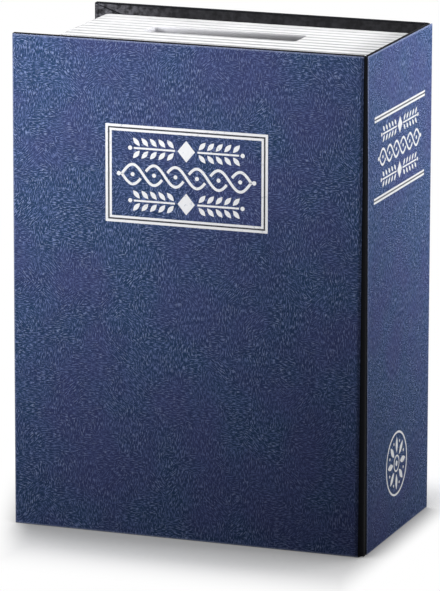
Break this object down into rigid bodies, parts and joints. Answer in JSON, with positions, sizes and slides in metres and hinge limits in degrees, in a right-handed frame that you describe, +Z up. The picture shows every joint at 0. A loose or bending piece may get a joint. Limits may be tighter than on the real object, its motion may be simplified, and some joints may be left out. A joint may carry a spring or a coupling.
{
  "type": "book diversion safe",
  "caption": "Small diversion safe shaped like a hardback book, with a steel lock box behind the front cover and a money slot in the top of its page block.",
  "frame": {"origin": "under the middle of the closed book, on the surface that its board edges stand on", "axes": "+Z up along the spine, front cover facing -Y, fore-edge facing -X, spine facing +X"},
  "size_m": [0.085, 0.047, 0.115],
  "materials": {
    "blue_leatherette": "embossed short-stroke grain, satin",
    "black_covering": "matt black bookbinder's covering",
    "grey_board": "raw greyboard, hidden by its covering",
    "page_moulding": "white moulded plastic, ribbed like page edges",
    "black_steel": "black powder coat, fine texture",
    "plated_steel": "bright zinc plate",
    "lock_chrome": "polished chrome plate",
    "lock_brass": "turned brass"
  },
  "bodies": {
    "case": {"back_board": "grey_board", "back_wrap": "black_covering", "back_lining": "black_covering", "back_panel": "blue_leatherette", "spine_board": "grey_board", "spine_wrap": "black_covering", "spine_lining": "black_covering", "spine_panel": "blue_leatherette", "page_block": "page_moulding", "box_tray": "black_steel", "back_rivet_1": "plated_steel", "back_rivet_2": "plated_steel", "back_rivet_3": "plated_steel", "back_rivet_4": "plated_steel", "spine_rivet_1": "plated_steel", "spine_rivet_2": "plated_steel", "hinge_fixed_leaf": "plated_steel", "hinge_pin": "plated_steel", "fixed_leaf_rivet_1": "plated_steel", "fixed_leaf_rivet_2": "plated_steel", "lock_keeper": "plated_steel"},
    "cover": {"front_board": "grey_board", "front_wrap": "black_covering", "front_lining": "black_covering", "front_panel": "blue_leatherette"},
    "door": {"box_door": "black_steel", "hinge_moving_leaf": "plated_steel", "door_leaf_rivet_1": "plated_steel", "door_leaf_rivet_2": "plated_steel", "lock_barrel": "lock_chrome", "lock_washer": "plated_steel", "lock_nut": "plated_steel"},
    "lock_works": {"lock_plug": "lock_brass", "lock_cam": "plated_steel", "cam_screw": "plated_steel"}
  },
  "joints": [
    {"name": "cover_hinge", "type": "hinge", "parent": "case", "child": "cover", "pos_m": [0.0422, -0.0232, 0.0575], "axis": [0, 0, 1], "range_deg": [0, 180]},
    {"name": "door_hinge", "type": "hinge", "parent": "case", "child": "door", "pos_m": [0.03795, -0.019, 0.0575], "axis": [0, 0, 1], "range_deg": [0, 108]},
    {"name": "lock_turn", "type": "hinge", "parent": "door", "child": "lock_works", "pos_m": [-0.02355, -0.0183, 0.0575], "axis": [0, -1, 0], "range_deg": [0, 90]}
  ],
  "couplings": [
    {"joint": "door_hinge", "follows": "cover_hinge", "ratio": 0.6}
  ]
}
